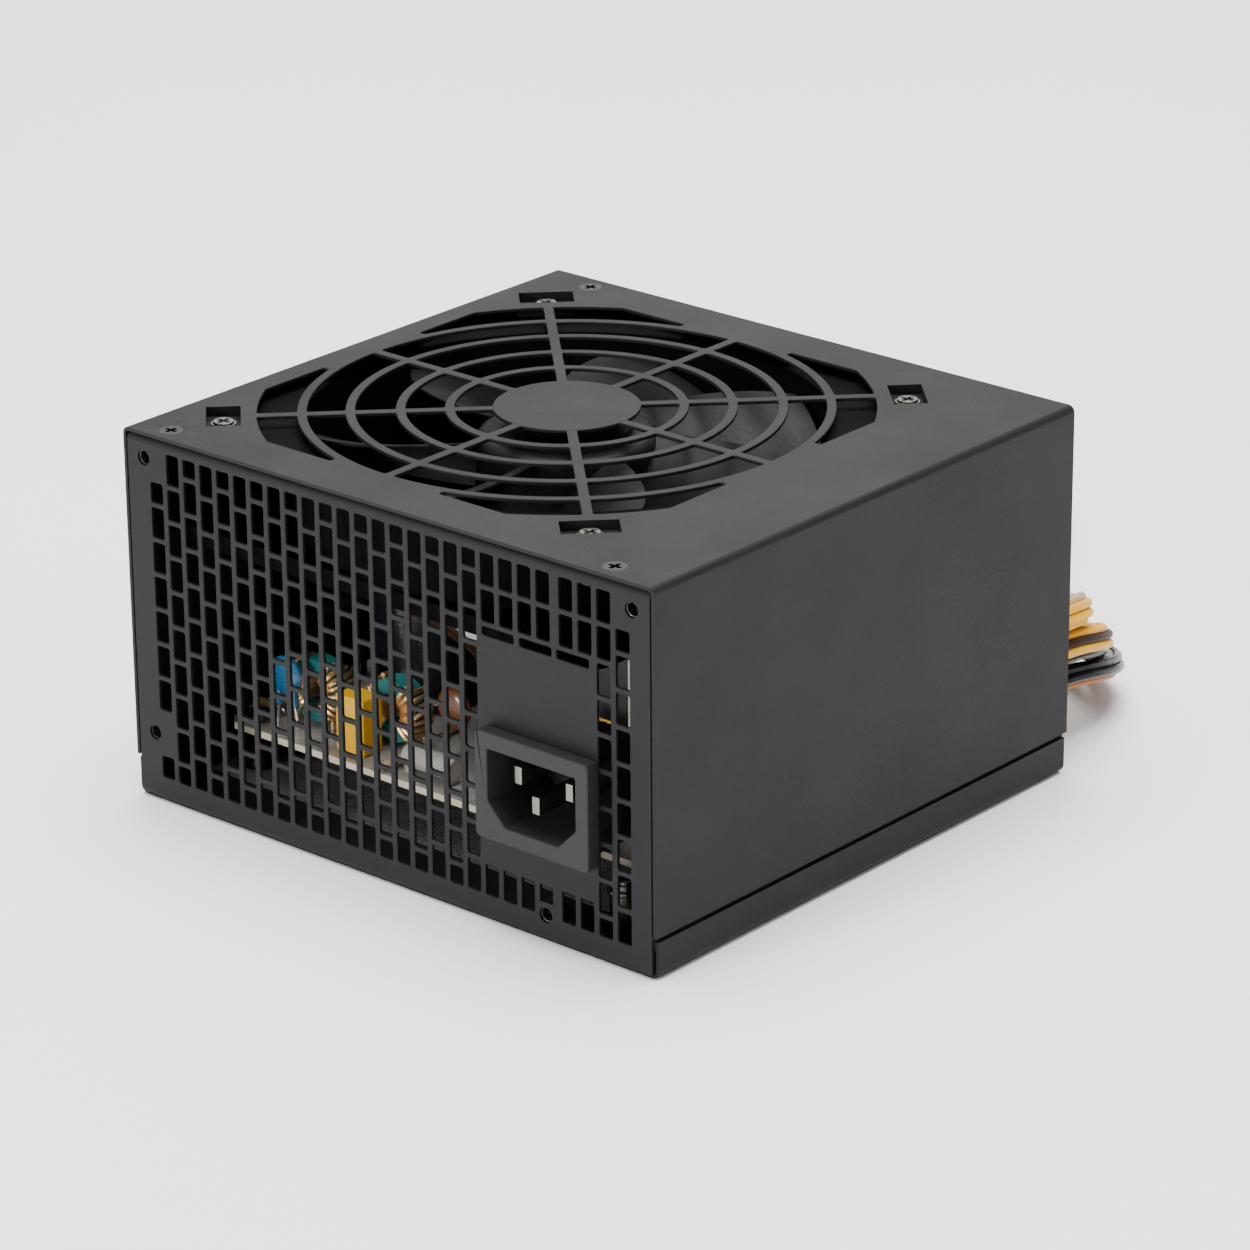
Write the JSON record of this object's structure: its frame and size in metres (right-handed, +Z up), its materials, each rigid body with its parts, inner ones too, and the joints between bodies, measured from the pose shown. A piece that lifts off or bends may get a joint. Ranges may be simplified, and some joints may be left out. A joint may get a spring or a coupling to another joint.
{
  "type": "desktop computer power supply unit",
  "caption": "Boxed desktop power supply with a round fan grille on top, a slotted rear panel with a mains inlet, and a bundle of output cables wound in a coil behind it.",
  "frame": {"origin": "middle of the case's bottom face", "axes": "+X across the rear panel towards the side the cables leave on, +Y from the vented rear panel to the cable panel, +Z up through the fan"},
  "size_m": [0.1975, 0.2875, 0.086],
  "materials": {
    "dark_sheet": "fine-textured satin powder coat",
    "silver_steel": "zinc-plated",
    "screw_steel": "plated, slightly worn",
    "black_plastic": "fine moulded texture",
    "grey_plastic": "fine moulded texture",
    "bearing_bronze": "sintered",
    "motor_steel": "stacked laminations",
    "magnet": "bonded ferrite",
    "copper_wire": "enamelled copper",
    "board_green": "solder-masked board",
    "board_tan": "paper phenolic board",
    "fan_wire": "wire insulation",
    "plug_white": "nylon",
    "blade_metal": "nickel-plated",
    "mains_wire": "wire insulation",
    "earth_wire": "wire insulation, green with a yellow stripe",
    "insulator": "thin film",
    "film_yellow": "moulded box",
    "disc_blue": "dipped coating",
    "core_green": "painted ferrite",
    "fuse_ceramic": "ceramic tube with metal caps",
    "thermistor": "dipped coating",
    "part_black": "moulded epoxy",
    "can_sleeve": "shrink sleeve over an aluminium can",
    "heatsink": "mill finish",
    "ferrite": "ground ferrite",
    "tape_yellow": "polyester tape",
    "core_yellow": "painted iron powder",
    "wires_main": "bundle of insulated wires, mostly yellow, orange, red and black",
    "wires_cpu": "bundle of insulated wires, yellow and black",
    "wires_card": "bundle of insulated wires, yellow and black",
    "wires_drive": "bundle of insulated wires, black, orange, red and yellow",
    "plug_black": "nylon"
  },
  "bodies": {
    "case": {"base_tray": "dark_sheet", "top_cover": "dark_sheet", "cover_screws": "screw_steel", "fan_frame": "grey_plastic", "fan_screws": "silver_steel", "fan_bearing": "bearing_bronze", "fan_stator": "motor_steel", "fan_windings": "copper_wire", "fan_driver_board": "board_green", "fan_lead": "fan_wire", "fan_plug": "plug_white", "inlet_body": "grey_plastic", "inlet_blades": "blade_metal", "inlet_wires": "mains_wire", "earth_wire": "earth_wire", "earth_post": "screw_steel", "earth_screw": "silver_steel", "insulation_sheet": "insulator", "board_posts": "screw_steel", "circuit_board": "board_tan", "board_screws": "silver_steel", "x_capacitor": "film_yellow", "y_capacitors": "disc_blue", "choke_cores": "core_green", "choke_windings": "copper_wire", "fuse": "fuse_ceramic", "thermistor": "thermistor", "bridge_rectifier": "part_black", "bulk_capacitors": "can_sleeve", "primary_heatsink": "heatsink", "secondary_heatsink": "heatsink", "power_transistors": "part_black", "output_rectifiers": "part_black", "heatsink_screws": "silver_steel", "transformer_core": "ferrite", "transformer_winding": "tape_yellow", "small_transformers": "tape_yellow", "output_choke_core": "core_yellow", "output_choke_winding": "copper_wire", "output_capacitors": "can_sleeve", "control_board": "board_green", "control_chips": "part_black", "wire_clamp": "black_plastic", "cable_grommet": "black_plastic", "main_cable": "wires_main", "main_coil": "wires_main", "main_plug": "plug_white", "cpu_cable": "wires_cpu", "cpu_coil": "wires_cpu", "cpu_plug": "plug_black", "card_cable": "wires_card", "card_coil": "wires_card", "card_plug": "plug_black", "drive_cable": "wires_drive", "drive_coil": "wires_drive", "drive_plug": "plug_black", "cable_ties": "black_plastic"},
    "fan": {"fan_rotor": "black_plastic", "fan_shaft": "silver_steel", "fan_magnet": "magnet"}
  },
  "joints": [
    {"name": "fan_spin", "type": "hinge", "parent": "case", "child": "fan", "pos_m": [-0.01, 0.0005, 0.07], "axis": [0, 0, 1], "continuous": true}
  ]
}
